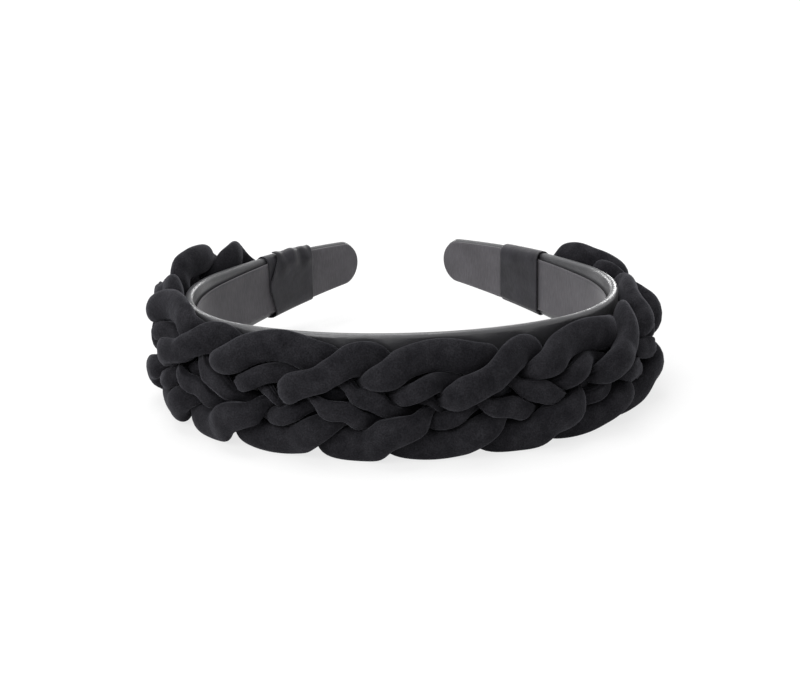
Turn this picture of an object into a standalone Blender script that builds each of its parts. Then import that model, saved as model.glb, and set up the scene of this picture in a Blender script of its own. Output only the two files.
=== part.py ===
"""A braided velvet headband, built from its separate pieces.

The band lies on the lower edge of its braid, with the crown towards -Y and the tips towards +Y.
Lengths are in metres. Three measures place everything: "along" runs along the hoop from the middle
of the crown, towards +X on the right arm; "out" runs from the middle of the plastic hoop, away from
the head; "up" runs from the middle of the band's width.
"""

import math

import bmesh
import bpy
import numpy as np

# Plan of the hoop: on each side three arcs, from the crown to the tip
CROWN_RADIUS = 0.086
CROWN_LENGTH = 0.048
TEMPLE_RADIUS = 0.0435
TEMPLE_LENGTH = 0.067
ARM_RADIUS = 0.168
ARM_LENGTH = 0.067

# Covered band
CROWN_WIDTH = 0.034
TIP_WIDTH = 0.01415
WIDTH_POWER = 1.64
TIP_ROUNDING = 0.0055
CORE_THICKNESS = 0.0012
COVER_THICKNESS = 0.0004
LINING_WIDTH = 0.0175
LINING_THICKNESS = 0.0005
LINING_TIP_MARGIN = 0.0005
HEM_UNDER_LINING = 0.002
LAYER_CLEARANCE = 0.0003

# Ribbon bindings, measured along the hoop
LEFT_BINDING_START = 0.141
LEFT_BINDING_WIDTH = 0.0193
RIGHT_BINDING_START = 0.1375
RIGHT_BINDING_WIDTH = 0.0177
BINDING_THICKNESS = 0.0005
TAIL_THICKNESS = 0.0022
TAIL_EDGE_MARGIN = 0.001
TAIL_END_MARGIN = 0.003

# Braid: two single cords and two pairs of cords, in four plies
BRAID_WIDTH = 0.0395
SINGLE_CORD_WIDTH = 0.0108
PAIR_CORD_WIDTH = 0.0082
PAIR_SPACING = 0.0079
CORD_THICKNESS = 0.0062
CORD_CLEARANCE = 0.001
LEAST_ROOM = 0.0002
STACKING_REACH = 0.0052
CROSSING_PITCH = 0.0236
LEFT_LAST_CROSSING = 0.0067
RIGHT_LAST_CROSSING = 0.0111
GATHER_LENGTH = 0.013
REST_FLAT_DEPTH = 0.0005
CUT_TOLERANCE = 1e-7
SLEEVE_WALL = 0.0008

# Shares of a size or a step
LEAST_BORE_SHARE = 0.4
FILLER_SHARE = 0.66
FILLER_GATHER_LIMIT = 0.1
TRIANGLE_SHARE = 1 / 9
PUSH_SHARE = 1 / 4
LEVEL_SHARE = 1 / 50
BEND_SHARE = 1 / 6
TAIL_POWER = 4
MEETING_POWER = 8
LEAST_FACING = 0.05
CENTRING_SHARE = 0.5

# Angles in degrees
START_PHASE = -67.5
LAST_TIP_ANGLE = 84
SHARP_ANGLE = 40

# Counts
PLY_COUNT = 4
SLICES_PER_CROSSING = 16
SLICES_PER_RING = 4
CHECKS_PER_RING = 10
SLEEVE_SIDES = 8
SIDES_PER_BORE_SIDE = 2
FIRST_BORE_CORNER = 1
SETTLING_ROUNDS = 300
FINAL_ROUNDS = 60
FITTING_ROUNDS = 40
CENTRING_ROUNDS = 6
BAND_STATIONS = 56
TIP_STATIONS = 6
BINDING_STATIONS = 6

# name, ply, place in the ply: 0 alone, 1 the upper of a pair, -1 the lower
CORDS = [
    ("ply1", 0, 0),
    ("ply2_upper", 1, 1),
    ("ply2_lower", 1, -1),
    ("ply3", 2, 0),
    ("ply4_upper", 3, 1),
    ("ply4_lower", 3, -1),
]

# Derived places
HALF_LENGTH = CROWN_LENGTH + TEMPLE_LENGTH + ARM_LENGTH
COVER_MIDDLE = CORE_THICKNESS / 2 + LAYER_CLEARANCE + COVER_THICKNESS / 2
COVER_OUTSIDE = COVER_MIDDLE + COVER_THICKNESS / 2
LINING_MIDDLE = -(COVER_OUTSIDE + LAYER_CLEARANCE + LINING_THICKNESS / 2)
CORD_FACE = COVER_OUTSIDE + LAYER_CLEARANCE
CORD_STACK = CORD_THICKNESS + CORD_CLEARANCE
BRAID_MIDDLE = CORD_FACE + CORD_THICKNESS / 2 + CORD_STACK / 2
HEM_EDGE = LINING_WIDTH / 2 - HEM_UNDER_LINING

ARCS = [
    (CROWN_RADIUS, CROWN_LENGTH),
    (TEMPLE_RADIUS, TEMPLE_LENGTH),
    (ARM_RADIUS, ARM_LENGTH),
]


def arc_steps(along):
    """The length of hoop used in each arc, from the crown to a place."""
    rest = abs(along)
    steps = []
    for radius, length in ARCS[:-1]:
        steps.append((radius, min(rest, length)))
        rest -= steps[-1][1]
    steps.append((ARCS[-1][0], rest))
    return steps


def hoop_point(along, out, up):
    """The point at a place along the hoop, away from the head and up its width."""
    x = y = turn = 0.0
    for radius, step in arc_steps(along):
        x += radius * (math.sin(turn + step / radius) - math.sin(turn))
        y += radius * (math.cos(turn) - math.cos(turn + step / radius))
        turn += step / radius
    x += out * math.sin(turn)
    y -= out * math.cos(turn)
    return (math.copysign(x, along) if along else x, y, up)


def braid_length(along):
    """Length along the middle of the braid, for a place along the hoop."""
    total = sum(step * (radius + BRAID_MIDDLE) / radius for radius, step in arc_steps(along))
    return math.copysign(total, along)


def hoop_length(braid):
    """The place along the hoop, for a length along the middle of the braid."""
    rest = abs(braid)
    along = 0.0
    for radius, length in ARCS[:-1]:
        ratio = (radius + BRAID_MIDDLE) / radius
        step = min(rest, length * ratio)
        along += step / ratio
        rest -= step
    along += rest * ARM_RADIUS / (ARM_RADIUS + BRAID_MIDDLE)
    return math.copysign(along, braid)


def band_half_width(along, inset=0.0):
    """Half the covered band's width, less an inset all round, with its rounded tip."""
    share = abs(along) / HALF_LENGTH
    half = (CROWN_WIDTH - (CROWN_WIDTH - TIP_WIDTH) * share**WIDTH_POWER) / 2 - inset
    past = abs(along) - (HALF_LENGTH - inset - TIP_ROUNDING)
    if past > 0:
        half *= math.sqrt(max(0.0, 1 - (past / TIP_ROUNDING) ** 2))
    return half


def band_stations(inset):
    """Places along the hoop from tip to tip, closer together round the tips."""
    straight = HALF_LENGTH - inset - TIP_ROUNDING
    angles = np.radians(LAST_TIP_ANGLE) * np.arange(1, TIP_STATIONS + 1) / TIP_STATIONS
    tip = list(straight + TIP_ROUNDING * np.sin(angles))
    middle = np.linspace(-straight, straight, BAND_STATIONS + 1)
    return [-a for a in reversed(tip)] + list(middle) + tip


def material(name, colour, roughness):
    made = bpy.data.materials.new(name)
    made.use_nodes = True
    shader = made.node_tree.nodes["Principled BSDF"]
    shader.inputs["Base Color"].default_value = (*colour, 1.0)
    shader.inputs["Roughness"].default_value = roughness
    return made


def add_object(name, mesh, finish, collection):
    made = bpy.data.objects.new(name, mesh)
    mesh.materials.append(finish)
    mesh.shade_smooth()
    mesh.set_sharp_from_angle(angle=math.radians(SHARP_ANGLE))
    collection.objects.link(made)
    return made


def loft(skin, rows, closed):
    """Adds a skin over rows of points to a bmesh, each row joined to the next."""
    verts = [[skin.verts.new(point) for point in row] for row in rows]
    count = len(rows[0])
    for row, following in zip(verts, verts[1:]):
        for k in range(count if closed else count - 1):
            after = (k + 1) % count
            skin.faces.new((row[k], row[after], following[after], following[k]))
    return verts


def finished_mesh(name, skin):
    mesh = bpy.data.meshes.new(name)
    skin.to_mesh(mesh)
    skin.free()
    return mesh


def add_sheet(name, rows, closed, thickness, finish, collection):
    """A sheet through the middle of a thin piece, given its thickness both ways."""
    skin = bmesh.new()
    loft(skin, rows, closed)
    made = add_object(name, finished_mesh(name, skin), finish, collection)
    wall = made.modifiers.new("thickness", "SOLIDIFY")
    wall.thickness = thickness
    wall.offset = 0.0
    wall.use_even_offset = True


def close_end(skin, ring, bore):
    """Closes the end of a hollow cord between its skin and its bore."""
    for k in range(len(bore)):
        first = FIRST_BORE_CORNER + k * SIDES_PER_BORE_SIDE
        outer = [ring[(first + side) % len(ring)] for side in range(SIDES_PER_BORE_SIDE + 1)]
        skin.faces.new(outer + [bore[(k + 1) % len(bore)], bore[k]])


def cord_mesh(name, rings, bore_rings=None, floor=None):
    """A closed cord over rings, hollow and cut flat at a floor where these are given."""
    skin = bmesh.new()
    verts = loft(skin, rings, True)
    bores = loft(skin, bore_rings, True) if bore_rings else None
    bmesh.ops.triangulate(skin, faces=skin.faces, quad_method="FIXED")
    for end in (0, -1):
        if bores:
            close_end(skin, verts[end], bores[end])
        else:
            skin.faces.new(verts[end])
    bmesh.ops.recalc_face_normals(skin, faces=skin.faces)
    if floor is not None:
        cut = bmesh.ops.bisect_plane(
            skin,
            geom=list(skin.verts) + list(skin.edges) + list(skin.faces),
            dist=CUT_TOLERANCE,
            plane_co=(0, 0, floor),
            plane_no=(0, 0, -1),
            clear_outer=True,
        )
        edges = [e for e in cut["geom_cut"] if isinstance(e, bmesh.types.BMEdge)]
        bmesh.ops.holes_fill(skin, edges=edges)
        bmesh.ops.recalc_face_normals(skin, faces=skin.faces)
    return finished_mesh(name, skin)


def add_band(finishes, collection):
    """The plastic hoop, its satin cover with turned hems, and the ribbon lining."""
    core_inset = COVER_THICKNESS + LAYER_CLEARANCE
    rows = []
    for along in band_stations(core_inset):
        half = band_half_width(along, core_inset)
        rows.append([hoop_point(along, 0.0, half), hoop_point(along, 0.0, -half)])
    add_sheet("band_core", rows, False, CORE_THICKNESS, finishes["plastic"], collection)

    rows = []
    for along in band_stations(COVER_THICKNESS / 2):
        half = band_half_width(along, COVER_THICKNESS / 2)
        hem = min(HEM_EDGE, half / 2)
        profile = [(-COVER_MIDDLE, hem), (-COVER_MIDDLE, half), (COVER_MIDDLE, half)]
        profile += [(out, -up) for out, up in reversed(profile)]
        rows.append([hoop_point(along, out, up) for out, up in profile])
    add_sheet("satin_cover", rows, False, COVER_THICKNESS, finishes["satin"], collection)

    rows = []
    for along in band_stations(LINING_TIP_MARGIN):
        half = min(LINING_WIDTH / 2, band_half_width(along, LINING_TIP_MARGIN))
        rows.append([hoop_point(along, LINING_MIDDLE, half), hoop_point(along, LINING_MIDDLE, -half)])
    add_sheet("lining_ribbon", rows, False, LINING_THICKNESS, finishes["ribbon"], collection)


def tail_pitch():
    """Width that each flattened cord has beneath a binding."""
    ends = (LEFT_BINDING_START + LEFT_BINDING_WIDTH, RIGHT_BINDING_START + RIGHT_BINDING_WIDTH)
    narrowest = min(band_half_width(end) for end in ends)
    return 2 * (narrowest - TAIL_EDGE_MARGIN) / len(CORDS)


def add_binding(name, start, width, side, finish, collection):
    """A ribbon sleeve round the band and the flattened ends of the cords."""
    ease = LAYER_CLEARANCE + BINDING_THICKNESS / 2
    inside = LINING_MIDDLE - LINING_THICKNESS / 2 - ease
    shoulder = COVER_OUTSIDE + ease
    over_tails = CORD_FACE + TAIL_THICKNESS + ease
    tails_half = tail_pitch() * len(CORDS) / 2
    rows = []
    for along in np.linspace(start, start + width, BINDING_STATIONS + 1):
        edge = band_half_width(along) + ease
        profile = [(inside, edge), (shoulder, edge), (over_tails, tails_half)]
        profile += [(out, -up) for out, up in reversed(profile)]
        rows.append([hoop_point(side * along, out, up) for out, up in profile])
    add_sheet(name, rows, True, BINDING_THICKNESS, finish, collection)


def smooth_step(share):
    share = np.clip(share, 0.0, 1.0)
    return share * share * (3 - 2 * share)


class Braid:
    """Six cords, followed through slices across the band from one binding to the other."""

    def __init__(self):
        self.left_binding = -braid_length(LEFT_BINDING_START)
        self.right_binding = braid_length(RIGHT_BINDING_START)
        self.left = self.left_binding + LEFT_LAST_CROSSING
        self.right = self.right_binding - RIGHT_LAST_CROSSING
        half_pitches = round((self.right - self.left) / (CROSSING_PITCH / 2))
        self.pitch = 2 * (self.right - self.left) / half_pitches
        self.slices = self.slice_places()
        past_left = self.left_binding + GATHER_LENGTH - self.slices
        past_right = self.slices - self.right_binding + GATHER_LENGTH
        self.gathered = smooth_step(np.maximum(past_left, past_right) / GATHER_LENGTH)
        self.set_plan()
        self.settle()
        self.straighten()

    def slice_places(self):
        """Lengths along the braid of its slices, with whole rings in each stretch."""
        ring = self.pitch / SLICES_PER_CROSSING * SLICES_PER_RING
        left_tail = -braid_length(LEFT_BINDING_START + LEFT_BINDING_WIDTH - TAIL_END_MARGIN)
        right_tail = braid_length(RIGHT_BINDING_START + RIGHT_BINDING_WIDTH - TAIL_END_MARGIN)
        stops = [left_tail, self.left_binding, self.left + ring / 2]
        stops += [self.right - ring / 2, self.right_binding, right_tail]
        places = [np.array([left_tail])]
        for start, end in zip(stops, stops[1:]):
            rings = max(2, round((end - start) / ring))
            places.append(np.linspace(start, end, rings * SLICES_PER_RING + 1)[1:])
        return np.concatenate(places)

    def set_plan(self):
        """Each cord's height on the band in each slice, and its half width and half thickness."""
        turn = 2 * math.pi / PLY_COUNT
        held = np.clip(self.slices, self.left, self.right)
        first = math.radians(START_PHASE) + turn * (held - self.left) / self.pitch
        self.phase = np.array([first - turn * ply for _, ply, _ in CORDS])
        place = np.array([place for _, _, place in CORDS])[:, None]
        width = np.where(place == 0, SINGLE_CORD_WIDTH, PAIR_CORD_WIDTH)
        sway = (BRAID_WIDTH - width - np.abs(place) * PAIR_SPACING) / 2
        sway /= 1 + TRIANGLE_SHARE
        wave = np.sin(self.phase) - TRIANGLE_SHARE * np.sin(3 * self.phase)
        climb = np.cos(self.phase) - 3 * TRIANGLE_SHARE * np.cos(3 * self.phase)
        slant = np.hypot(1, sway * climb * turn / self.pitch)
        self.up = sway * wave + place * PAIR_SPACING / 2 * slant
        self.half_width = width / 2 * slant
        self.half_thick = np.full_like(self.up, CORD_THICKNESS / 2)
        middle = (self.left + self.right) / 2
        for end, nearest in ((self.slices < middle, 0), (self.slices > middle, -1)):
            ranks = np.argsort(np.argsort(self.up[:, nearest]))
            slots = (ranks - (len(CORDS) - 1) / 2) * tail_pitch()
            share = self.gathered[end]
            self.up[:, end] += (slots[:, None] - self.up[:, end]) * share
            self.half_width[:, end] += (tail_pitch() / 2 - self.half_width[:, end]) * share
            self.half_thick[:, end] += (TAIL_THICKNESS / 2 - self.half_thick[:, end]) * share

    def over(self, i, j):
        """1 where cord i crosses over cord j, -1 where it crosses under, and between these nearby."""
        apart = (CORDS[j][1] - CORDS[i][1]) % PLY_COUNT
        if apart == 1:
            return -np.sin(self.phase[i] - math.pi / 4)
        if apart == 2:
            return -np.cos(self.phase[i])
        if apart == 3:
            return np.sin(self.phase[j] - math.pi / 4)
        return np.zeros_like(self.phase[i])

    def settle(self):
        """Each cord's distance from the band: crossing cords push each other apart and are smoothed."""
        thick = self.half_thick
        level = thick + (1 - self.gathered) * CORD_STACK / 2
        self.out = level.copy()
        pairs = [(i, j) for i in range(len(CORDS)) for j in range(i + 1, len(CORDS))]
        for turn in range(SETTLING_ROUNDS + FINAL_ROUNDS):
            for i, j in pairs:
                over = self.over(i, j)
                stack = thick[i] + thick[j] + CORD_CLEARANCE
                reach = STACKING_REACH * (thick[i] + thick[j]) / CORD_THICKNESS
                near = np.maximum(0, 1 - ((self.up[i] - self.up[j]) / reach) ** 2)
                lack = stack * near * np.abs(over) - (self.out[i] - self.out[j]) * np.sign(over)
                push = PUSH_SHARE * np.maximum(0, lack) * near * np.sign(over)
                self.out[i] += push
                self.out[j] -= push
            self.out = np.maximum(self.out, thick)
            if turn < SETTLING_ROUNDS:
                self.out += LEVEL_SHARE * (level - self.out)
                bend = (self.out[:, :-2] + self.out[:, 2:]) / 2 - self.out[:, 1:-1]
                self.out[:, 1:-1] += BEND_SHARE * bend
        self.out += (level - self.out) * self.gathered**TAIL_POWER

    def straighten(self):
        """Keeps the slices that become rings, with evenly spaced checks on the straight lines between."""
        kept = np.arange(0, len(self.slices), SLICES_PER_RING)
        checks = np.linspace(0, kept[-1], (len(kept) - 1) * CHECKS_PER_RING + 1)

        def straight(course):
            return np.interp(checks, kept, course[kept])

        self.slices = straight(self.slices)
        self.gathered = straight(self.gathered)
        self.up = np.array([straight(course) for course in self.up])
        self.out = np.array([straight(course) for course in self.out])
        self.half_width = np.array([straight(course) for course in self.half_width])
        self.half_thick = np.array([straight(course) for course in self.half_thick])

    def spokes(self, i):
        """Directions round cord i at each check, and how far its corners would swell if it were free."""
        angles = 2 * math.pi * np.arange(SLEEVE_SIDES) / SLEEVE_SIDES
        across = self.half_width[i][:, None] * np.cos(angles)
        outward = self.half_thick[i][:, None] * np.sin(angles)
        free = np.hypot(across, outward)
        return np.stack([across, outward]) / free, free / math.cos(math.pi / SLEEVE_SIDES)

    def limits(self, i, ways, free, shift):
        """How far cord i, shifted in its room, swells along each spoke until it meets something."""
        face = (self.out[i] + shift[1])[:, None]
        edge = BRAID_WIDTH / 2 - np.sign(ways[0]) * (self.up[i] + shift[0])[:, None]
        meets = [free, face / np.maximum(-ways[1], LEAST_FACING)]
        meets.append(edge / np.maximum(np.abs(ways[0]), LEAST_FACING))
        for j in range(len(CORDS)):
            if j != i:
                gap = np.stack([self.up[j] - self.up[i], self.out[j] - self.out[i]])
                length = np.hypot(gap[0], gap[1])
                room = (length - CORD_CLEARANCE) / 2 - np.sum(shift * gap, axis=0) / length
                facing = np.einsum("acs,ac->cs", ways, gap / length)
                room = np.maximum(room, LEAST_ROOM)[:, None]
                meets.append(room / np.maximum(facing, LEAST_FACING))
        return np.sum([meet**-MEETING_POWER for meet in meets], axis=0) ** (-1 / MEETING_POWER)

    def shift_to_middle(self, i, ways, free):
        """How far cord i moves to lie in the middle of its room, straight from ring to ring."""
        checks = np.arange(len(self.slices))
        shift = np.zeros((2, len(checks)))
        for _ in range(CENTRING_ROUNDS):
            middle = np.mean(self.limits(i, ways, free, shift) * ways, axis=2)
            for axis in range(2):
                rings = middle[axis, ::CHECKS_PER_RING]
                shift[axis] += CENTRING_SHARE * np.interp(checks, checks[::CHECKS_PER_RING], rings)
        return shift

    def rings(self, i):
        """The points of cord i's rings, drawn in until the straight skin between them fits too."""
        ways, free = self.spokes(i)
        shift = self.shift_to_middle(i, ways, free)
        limit = self.limits(i, ways, free, shift)
        kept = slice(None, None, CHECKS_PER_RING)
        radii = limit[kept].copy()
        for _ in range(FITTING_ROUNDS):
            for check in range(1, CHECKS_PER_RING):
                after = check / CHECKS_PER_RING
                before = 1 - after
                skin = before * radii[:-1] + after * radii[1:]
                excess = np.maximum(0, skin - limit[check::CHECKS_PER_RING])
                excess /= before**2 + after**2
                radii[:-1] -= before * excess
                radii[1:] -= after * excess
        up = (self.up[i] + shift[0])[kept, None] + radii * ways[0, kept]
        out = CORD_FACE + (self.out[i] + shift[1])[kept, None] + radii * ways[1, kept]
        along = [hoop_length(place) for place in self.slices[kept]]
        return [[hoop_point(place, *point) for point in zip(*row)] for place, *row in zip(along, out, up)]


def arms_of(ring):
    """A ring's middle, and the arms from there to its corners."""
    corners = np.array(ring)
    middle = corners.mean(axis=0)
    return middle, corners - middle


def bore_ring(ring):
    """The corners of a sleeve's bore: a wall's thickness inside its skin, or a share near a pinch."""
    middle, arms = arms_of(ring)
    reach = np.linalg.norm(arms, axis=1, keepdims=True)
    corners = middle + arms * np.maximum(1 - SLEEVE_WALL / reach, LEAST_BORE_SHARE)
    return corners[FIRST_BORE_CORNER::SIDES_PER_BORE_SIDE]


def filler_ring(bore):
    """The corners of a filler: its bore's, drawn in by a share that clears it even where it twists."""
    middle, arms = arms_of(bore)
    return middle + arms * FILLER_SHARE


def add_cords(finishes, collection):
    """A velvet sleeve and the filler cord inside it, for each cord of the braid."""
    braid = Braid()
    skins = [braid.rings(i) for i in range(len(CORDS))]
    floor = np.min([ring for skin in skins for ring in skin], axis=(0, 1))[2] + REST_FLAT_DEPTH
    filled = braid.gathered[::CHECKS_PER_RING] < FILLER_GATHER_LIMIT
    for (name, _, _), skin_rings in zip(CORDS, skins):
        bore_rings = [bore_ring(ring) for ring in skin_rings]
        sleeve = cord_mesh(name + "_sleeve", skin_rings, bore_rings, floor)
        add_object(name + "_sleeve", sleeve, finishes["velvet"], collection)

        filler_rings = [filler_ring(bore) for bore, kept in zip(bore_rings, filled) if kept]
        filler = cord_mesh(name + "_filler", filler_rings)
        add_object(name + "_filler", filler, finishes["wadding"], collection)


def stand_on_origin(collection):
    """Parents the pieces to an empty that puts the middle of the footprint at the origin."""
    bpy.context.view_layer.update()
    graph = bpy.context.evaluated_depsgraph_get()
    corners = []
    for piece in collection.objects:
        mesh = piece.evaluated_get(graph).to_mesh()
        corners.append(np.array([vert.co for vert in mesh.vertices]))
    corners = np.concatenate(corners)
    low, high = corners.min(axis=0), corners.max(axis=0)
    root = bpy.data.objects.new("headband", None)
    bpy.context.scene.collection.objects.link(root)
    root.location = (-(low[0] + high[0]) / 2, -(low[1] + high[1]) / 2, -low[2])
    for piece in collection.objects:
        piece.parent = root
    print("size", high - low, "shift", tuple(root.location))


def main():
    for old in list(bpy.data.objects):
        bpy.data.objects.remove(old)
    collection = bpy.data.collections.new("headband")
    bpy.context.scene.collection.children.link(collection)
    finishes = {
        "plastic": material("black_plastic", (0.02, 0.02, 0.02), 0.5),
        "satin": material("black_satin", (0.03, 0.03, 0.033), 0.4),
        "ribbon": material("grey_ribbon", (0.075, 0.072, 0.078), 0.7),
        "velvet": material("black_velvet", (0.014, 0.014, 0.016), 0.95),
        "wadding": material("white_wadding", (0.8, 0.79, 0.76), 0.9),
    }
    add_band(finishes, collection)
    add_binding("left_binding", LEFT_BINDING_START, LEFT_BINDING_WIDTH, -1, finishes["satin"], collection)
    add_binding("right_binding", RIGHT_BINDING_START, RIGHT_BINDING_WIDTH, 1, finishes["satin"], collection)
    add_cords(finishes, collection)
    stand_on_origin(collection)


main()
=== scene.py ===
# %% [markdown]
# # A braided velvet headband
#
# The real object is a padded band: a springy plastic hoop in a satin cover, lined with ribbon. A flat
# braid of six stuffed velvet tubes lies on its outside, bound to the hoop at both ends with a ribbon.
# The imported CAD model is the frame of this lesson. Its hoop stays as it is, and its plain soft solids
# are replaced here by cloth and velvet that fill the same places.

# %% Load the frame
import math

import bmesh
import bpy
import numpy as np
from mathutils import Matrix, Vector


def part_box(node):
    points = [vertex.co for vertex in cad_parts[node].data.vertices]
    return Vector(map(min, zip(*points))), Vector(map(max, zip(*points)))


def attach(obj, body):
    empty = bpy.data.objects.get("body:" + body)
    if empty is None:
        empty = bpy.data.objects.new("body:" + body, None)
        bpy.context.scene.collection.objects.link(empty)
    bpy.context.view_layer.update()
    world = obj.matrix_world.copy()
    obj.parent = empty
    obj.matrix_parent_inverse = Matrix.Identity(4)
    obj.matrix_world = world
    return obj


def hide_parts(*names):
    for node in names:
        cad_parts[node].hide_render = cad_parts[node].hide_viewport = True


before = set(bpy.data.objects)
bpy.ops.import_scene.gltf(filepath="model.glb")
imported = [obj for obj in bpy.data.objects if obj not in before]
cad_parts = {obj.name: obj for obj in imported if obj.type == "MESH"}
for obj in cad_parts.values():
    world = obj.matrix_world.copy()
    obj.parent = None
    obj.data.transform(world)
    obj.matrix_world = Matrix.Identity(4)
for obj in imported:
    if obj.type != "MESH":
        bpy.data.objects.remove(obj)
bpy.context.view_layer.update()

print("nodes in the frame:", len(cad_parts))

# %% [markdown]
# ## The curve of the hoop
#
# Everything on a headband follows one flat curve: a wide arc at the crown, a tighter one at each
# temple and a nearly straight arm. A curve object with a Curve modifier could bend straight pieces
# along it, but the arcs are known, so a point is placed directly: some length along the hoop, some
# distance out from it, and some height up its width.

# %% Points on the hoop
ARCS = ((0.086, 0.048), (0.0435, 0.067), (0.168, 0.067))
HALF_LENGTH = sum(length for radius, length in ARCS)
CORE_THICKNESS = 0.0012

core_low, core_high = (np.array(corner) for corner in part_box("band_core"))
HOOP_START = (core_low + core_high) / 2
HOOP_START[1] = core_low[1] + CORE_THICKNESS / 2


def hoop_points(along, out, up):
    """Points at lengths along the hoop, distances out from it and heights up its width."""
    along, out, up = np.broadcast_arrays(along, out, up)
    x, y, turn = np.zeros((3, *along.shape))
    rest = np.abs(along)
    for radius, length in ARCS:
        step = np.minimum(rest, length) / radius
        x += radius * (np.sin(turn + step) - np.sin(turn))
        y += radius * (np.cos(turn) - np.cos(turn + step))
        turn = turn + step
        rest = rest - step * radius
    x += out * np.sin(turn)
    y -= out * np.cos(turn)
    return np.stack([np.where(along < 0, -x, x), y, up], axis=-1) + HOOP_START


print("the hoop's crown is at", HOOP_START.round(4), "and its half length is", HALF_LENGTH)

# %% [markdown]
# ## The camera
#
# The photograph looks down at the crown from about 21 degrees, from 0.6 m away, with a slight roll.
# A long lens keeps the arms from shrinking. Its place is worked out from a target in the hoop's own
# coordinates, so that the picture follows the frame.

# %% Camera
VIEW_DISTANCE = 0.6
VIEW_TARGET = (-0.00088, 0.06, -0.01095)
VIEW_AZIMUTH, VIEW_ELEVATION, VIEW_ROLL = np.radians((0.053, 20.8, -1.363))
FOCAL_PIXELS, PICTURE_WIDTH = 1868.8, 800

back = Vector((
    math.sin(VIEW_AZIMUTH) * math.cos(VIEW_ELEVATION),
    -math.cos(VIEW_AZIMUTH) * math.cos(VIEW_ELEVATION),
    math.sin(VIEW_ELEVATION),
))
camera_data = bpy.data.cameras.new("camera")
camera_data.sensor_width = 36
camera_data.lens = FOCAL_PIXELS / PICTURE_WIDTH * camera_data.sensor_width
camera = bpy.data.objects.new("camera", camera_data)
camera.location = Vector(HOOP_START) + Vector(VIEW_TARGET) + back * VIEW_DISTANCE
turned = back.to_track_quat("Z", "Y").to_matrix()
camera.rotation_euler = (turned @ Matrix.Rotation(VIEW_ROLL, 3, "Z")).to_euler()
bpy.context.scene.collection.objects.link(camera)
bpy.context.scene.camera = camera
print("the camera looks from", tuple(round(v, 3) for v in camera.location), "with lens", camera_data.lens)

# %% [markdown]
# ## How a finish is made
#
# Every finish here is a Principled shader with a few textures. Constants are typed into the shader's
# own sockets, and only what varies over the surface is linked. Two helpers keep the cells short: one
# starts a finish, the other adds a node and links its inputs.

# %% Helpers for finishes
def new_finish(name, **settings):
    """A material with a Principled shader, and the shader's plain settings typed in."""
    finish = bpy.data.materials.new(name)
    finish.use_nodes = True
    shader = finish.node_tree.nodes["Principled BSDF"]
    for socket, value in settings.items():
        shader.inputs[socket.replace("_", " ")].default_value = value
    return finish, finish.node_tree, shader


def add_node(tree, kind, settings=None, **inputs):
    """A node with its settings made and its inputs typed in, or linked where a socket is given."""
    node = tree.nodes.new("ShaderNode" + kind)
    for name, value in (settings or {}).items():
        setattr(node, name, value)
    for name, value in inputs.items():
        socket = node.inputs[name.replace("_", " ")]
        if isinstance(value, bpy.types.NodeSocket):
            tree.links.new(value, socket)
        else:
            socket.default_value = value
    return node


def between(tree, share, low, high):
    """A colour ramp from one grey or colour to another, over a share from a texture."""
    ramp = add_node(tree, "ValToRGB", Fac=share)
    for stop, (place, colour) in zip(ramp.color_ramp.elements, (low, high)):
        stop.position = place
        stop.color = (*colour, 1.0)
    return ramp.outputs["Color"]


print("helpers for finishes are ready")

# %% [markdown]
# ## Velvet
#
# Velvet is a dense, short pile. It swallows light that comes straight at it, and the tips of its
# threads catch light at the edges, so a round tube looks black in the middle with a soft pale rim.
# That is what the shader's sheen does. The pile also leans one way in some patches and another way
# in others, which a cloudy noise gives, and a very fine noise gives the separate tufts.

# %% Velvet finish
velvet, tree, shader = new_finish(
    "black_velvet",
    Roughness=0.95,
    Specular_IOR_Level=0.04,
    Sheen_Weight=0.12,
    Sheen_Roughness=0.4,
    Sheen_Tint=(0.75, 0.75, 0.84, 1.0),
)
place = add_node(tree, "TexCoord").outputs["Object"]
nap = add_node(tree, "TexNoise", Vector=place, Scale=210.0, Detail=4.0, Roughness=0.6).outputs["Fac"]
tufts = add_node(tree, "TexNoise", Vector=place, Scale=2400.0, Detail=2.0).outputs["Fac"]
leaning = between(tree, nap, (0.3, (0.009, 0.0088, 0.0105)), (0.75, (0.021, 0.0205, 0.0235)))
tips = between(tree, tufts, (0.3, (0.6, 0.6, 0.6)), (0.75, (1.5, 1.5, 1.5)))
pile = add_node(tree, "MixRGB", {"blend_type": "MULTIPLY"}, Fac=1.0, Color1=leaning, Color2=tips)
tree.links.new(pile.outputs["Color"], shader.inputs["Base Color"])
tufted = add_node(tree, "Bump", Strength=0.6, Distance=0.0002, Height=tufts)
tufted_normal = tufted.outputs["Normal"]
brushed = add_node(tree, "Bump", Strength=0.35, Distance=0.0008, Height=nap, Normal=tufted_normal)
tree.links.new(brushed.outputs["Normal"], shader.inputs["Normal"])
print("made", velvet.name)

# %% [markdown]
# ## The plan of the braid
#
# Four plies are braided flat. Two plies are single tubes and two are pairs of thinner tubes, so six
# tubes swing from edge to edge of the band, each a quarter turn behind the last. A rising tube lies
# over the falling ones near both edges, where it shows as a fat leaf, and under them in the middle.
# Lengths are measured along the middle of the braid, which is a little longer than the hoop.

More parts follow.
